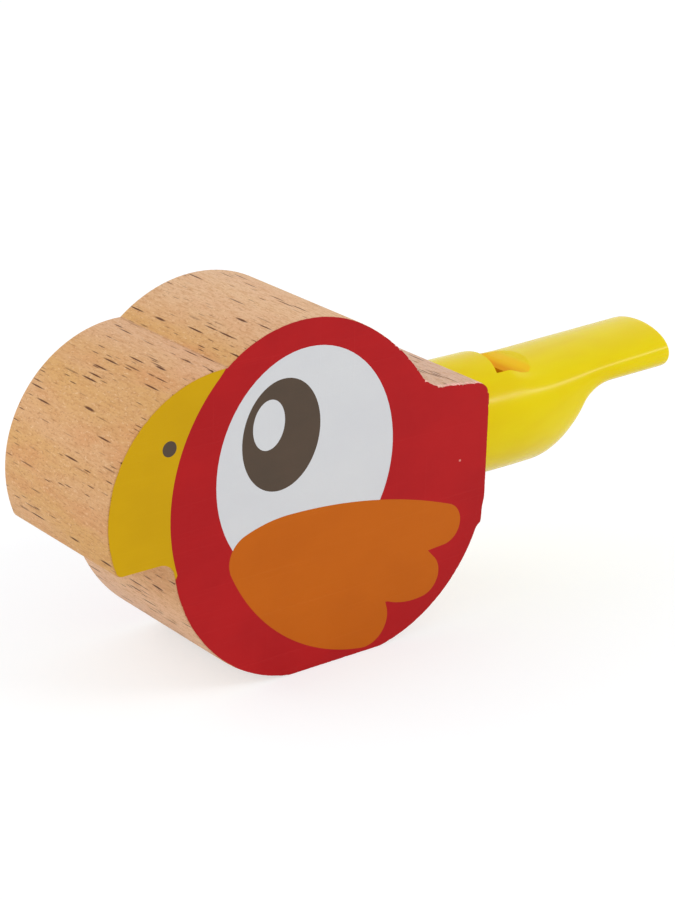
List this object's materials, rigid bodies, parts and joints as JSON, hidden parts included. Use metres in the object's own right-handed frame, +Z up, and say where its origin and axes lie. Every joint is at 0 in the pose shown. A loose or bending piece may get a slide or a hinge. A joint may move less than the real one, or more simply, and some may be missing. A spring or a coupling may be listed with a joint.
{
  "type": "bird whistle",
  "caption": "Flat beech bird, printed on both faces, that stands on its belly and carries a moulded fipple whistle as its tail, with a sound window and a flattened mouthpiece.",
  "frame": {"origin": "centre of the flat under the belly, on which the bird stands", "axes": "+X from the beak to the mouthpiece, +Y through the thickness towards the back face, +Z up"},
  "size_m": [0.102, 0.0242, 0.0494],
  "materials": {
    "beech": "sanded, waxed beech",
    "yellow_plastic": "moulded, glossy",
    "red_print": "satin screen print",
    "yellow_print": "satin screen print",
    "white_print": "satin screen print",
    "brown_print": "satin screen print",
    "orange_print": "satin screen print"
  },
  "bodies": {
    "root": {"beech_block": "beech", "whistle_body": "yellow_plastic", "windway_block": "yellow_plastic", "chamber_plug": "yellow_plastic", "front_red_coat": "red_print", "front_beak_print": "yellow_print", "front_eye_white": "white_print", "front_pupil_print": "brown_print", "front_eye_glint": "white_print", "front_nostril_print": "brown_print", "front_wing_print": "orange_print", "back_red_coat": "red_print", "back_beak_print": "yellow_print", "back_eye_white": "white_print", "back_pupil_print": "brown_print", "back_eye_glint": "white_print", "back_nostril_print": "brown_print", "back_wing_print": "orange_print"}
  },
  "joints": []
}
